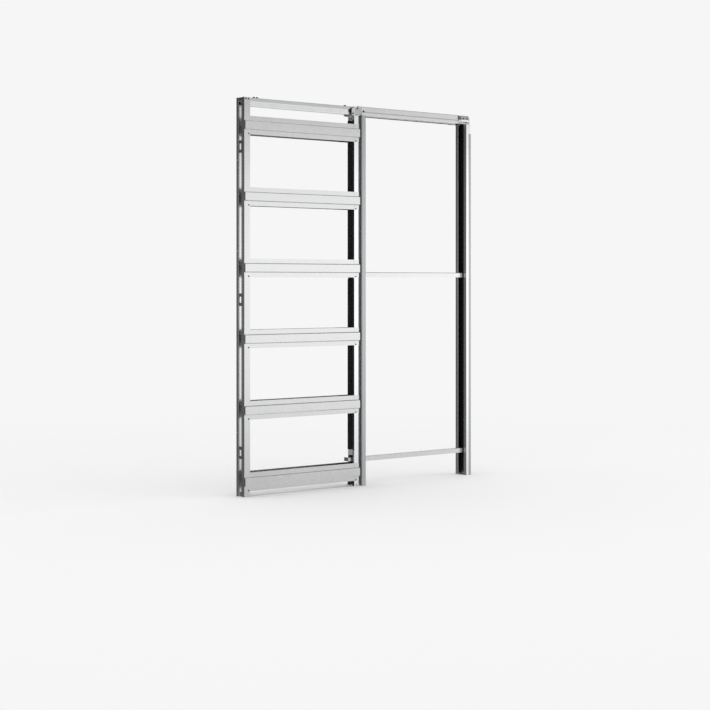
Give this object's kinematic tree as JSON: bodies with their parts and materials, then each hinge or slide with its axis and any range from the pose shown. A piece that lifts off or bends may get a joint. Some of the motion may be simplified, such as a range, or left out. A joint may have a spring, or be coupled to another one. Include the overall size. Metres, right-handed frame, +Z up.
{
  "type": "pocket door frame",
  "caption": "Zinc-coated steel cassette for a sliding pocket door: railed pocket, open doorway with spacer bars, header with running track, and strike post.",
  "frame": {"origin": "on the floor, under the middle of the frame's length and depth", "axes": "+X along the wall from the end post to the strike post, +Y through the wall from the front face to the back, +Z up"},
  "size_m": [1.701, 0.1, 2.2035],
  "materials": {
    "zinc_steel": "glossy zinc-coated sheet",
    "jamb_steel": "dull zinc-coated sheet",
    "track_aluminium": "satin extruded",
    "rubber_lining": "matt black",
    "clip_plastic": "matt black moulded",
    "bolt_steel": "dark zinc-plated"
  },
  "bodies": {
    "root": {"end_post_front": "zinc_steel", "end_post_back": "zinc_steel", "end_bracket_low": "zinc_steel", "end_bracket_mid": "zinc_steel", "end_bracket_high": "zinc_steel", "end_bracket_top": "zinc_steel", "mouth_post_front": "zinc_steel", "mouth_post_back": "zinc_steel", "mouth_jamb_front": "jamb_steel", "mouth_jamb_back": "jamb_steel", "mouth_lining_front": "rubber_lining", "mouth_lining_back": "rubber_lining", "front_rail_1": "zinc_steel", "front_rail_2": "zinc_steel", "front_rail_3": "zinc_steel", "front_rail_4": "zinc_steel", "front_rail_5": "zinc_steel", "front_rail_6": "zinc_steel", "back_rail_1": "zinc_steel", "back_rail_2": "zinc_steel", "back_rail_3": "zinc_steel", "back_rail_4": "zinc_steel", "back_rail_5": "zinc_steel", "back_rail_6": "zinc_steel", "header_carrier": "zinc_steel", "running_track": "track_aluminium", "header_fascia_front": "zinc_steel", "header_fascia_back": "zinc_steel", "header_corner_cap": "zinc_steel", "header_junction_front": "zinc_steel", "header_junction_back": "zinc_steel", "mouth_head_plates": "zinc_steel", "track_bolts": "bolt_steel", "strike_post": "zinc_steel", "strike_bead_front": "jamb_steel", "strike_bead_back": "jamb_steel", "spacer_bar_low": "zinc_steel", "spacer_bar_mid": "zinc_steel", "spacer_clip_low": "clip_plastic", "spacer_clip_mid": "clip_plastic", "spacer_plates_low": "zinc_steel", "spacer_plates_mid": "zinc_steel", "end_foot": "zinc_steel", "mouth_feet": "zinc_steel", "strike_foot": "zinc_steel"}
  },
  "joints": []
}
